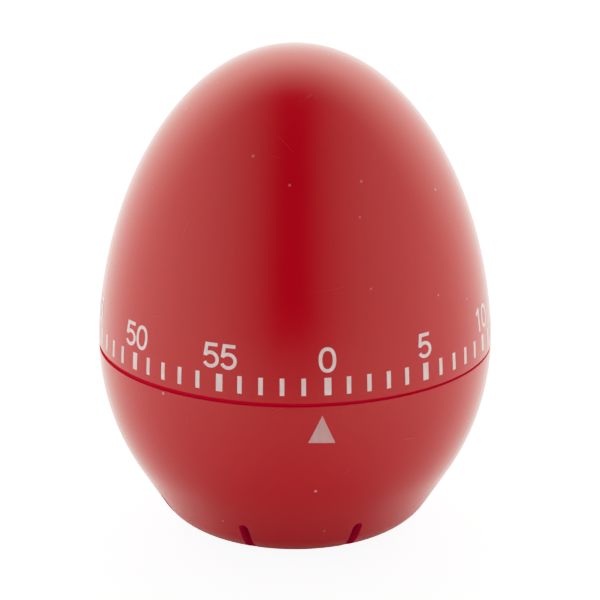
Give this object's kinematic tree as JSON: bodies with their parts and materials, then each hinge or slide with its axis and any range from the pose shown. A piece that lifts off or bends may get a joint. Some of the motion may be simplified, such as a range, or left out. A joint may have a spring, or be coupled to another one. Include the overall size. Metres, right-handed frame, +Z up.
{
  "type": "kitchen timer",
  "caption": "Egg-shaped mechanical sixty-minute kitchen timer: the upper shell turns as the dial on a lower shell that holds a spring-driven clockwork, a hammer and a bell.",
  "frame": {"origin": "centre of the flat face under the base, on the axis that the dial turns about", "axes": "+Z up along the axis of the egg, the printed pointer of the base faces -Y, +X to the right when the pointer faces the viewer"},
  "size_m": [0.06, 0.06, 0.0739],
  "materials": {
    "dial_plastic": "gloss red moulded plastic",
    "base_plastic": "gloss red moulded plastic",
    "scale_print": "thin white pad-printed ink",
    "brass": "stamped and turned brass",
    "steel": "turned bright steel",
    "spring_steel": "blued spring steel",
    "plate_steel": "zinc-plated sheet steel",
    "bell_steel": "nickel-plated pressed steel"
  },
  "bodies": {
    "base": {"base_shell": "base_plastic", "back_plate": "plate_steel", "top_plate": "plate_steel", "pillar_1": "steel", "pillar_2": "steel", "pillar_3": "steel", "plate_screw_1": "steel", "plate_screw_2": "steel", "plate_screw_3": "steel", "bell": "bell_steel", "bell_post": "steel", "bell_screw": "steel", "mainspring": "spring_steel", "hammer_spring": "spring_steel", "lever_spring": "spring_steel", "lever_stud": "steel"},
    "dial": {"dial_shell": "dial_plastic", "main_arbor": "steel", "arbor_clip": "spring_steel", "stop_finger": "brass", "alarm_cam": "brass", "clutch_washer": "spring_steel"},
    "main_wheel_body": {"main_wheel": "brass"},
    "second_arbor": {"second_pinion": "steel", "second_wheel": "brass", "strike_wheel": "steel"},
    "third_arbor": {"third_pinion": "steel", "third_wheel": "brass"},
    "escape_arbor": {"escape_pinion": "steel", "escape_wheel": "brass"},
    "balance": {"balance_staff": "steel", "balance_wheel": "brass", "pallet_pin_1": "steel", "pallet_pin_2": "steel"},
    "hammer": {"hammer_arbor": "steel", "hammer_tail": "steel", "hammer_catch": "steel", "hammer_arm": "steel", "hammer_head": "brass"},
    "lever": {"alarm_lever": "steel"}
  },
  "joints": [
    {"name": "dial_turn", "type": "hinge", "parent": "base", "child": "dial", "pos_m": [0, 0, 0.0296], "axis": [0, 0, 1], "range_deg": [-354, 0], "deforming": ["mainspring"]},
    {"name": "main_wheel_turn", "type": "hinge", "parent": "base", "child": "main_wheel_body", "pos_m": [0, 0, 0.0226], "axis": [0, 0, 1], "continuous": true},
    {"name": "second_turn", "type": "hinge", "parent": "base", "child": "second_arbor", "pos_m": [0, 0.0126, 0.021], "axis": [0, 0, 1], "continuous": true},
    {"name": "third_turn", "type": "hinge", "parent": "base", "child": "third_arbor", "pos_m": [0.00852, 0.00982, 0.021], "axis": [0, 0, 1], "continuous": true},
    {"name": "escape_turn", "type": "hinge", "parent": "base", "child": "escape_arbor", "pos_m": [0.01436, 0.00435, 0.021], "axis": [0, 0, 1], "continuous": true},
    {"name": "balance_rock", "type": "hinge", "parent": "base", "child": "balance", "pos_m": [0.01548, -0.0007, 0.021], "axis": [0, 0, 1], "range_deg": [-10, 10]},
    {"name": "hammer_swing", "type": "hinge", "parent": "base", "child": "hammer", "pos_m": [-0.00975, 0.01205, 0.0146], "axis": [0, 0, 1], "range_deg": [-5, 7], "stiffness_Nm_per_rad": 0.0008, "deforming": ["hammer_spring"]},
    {"name": "alarm_lever_rock", "type": "hinge", "parent": "base", "child": "lever", "pos_m": [-0.01222, -0.00445, 0.0243], "axis": [0, 0, 1], "range_deg": [0, 5], "stiffness_Nm_per_rad": 0.0008, "springref_deg": 5, "deforming": ["lever_spring"]}
  ],
  "couplings": [
    {"joint": "main_wheel_turn", "follows": "dial_turn", "ratio": 1},
    {"joint": "second_turn", "follows": "dial_turn", "ratio": -8},
    {"joint": "third_turn", "follows": "dial_turn", "ratio": 56},
    {"joint": "escape_turn", "follows": "dial_turn", "ratio": -392}
  ]
}
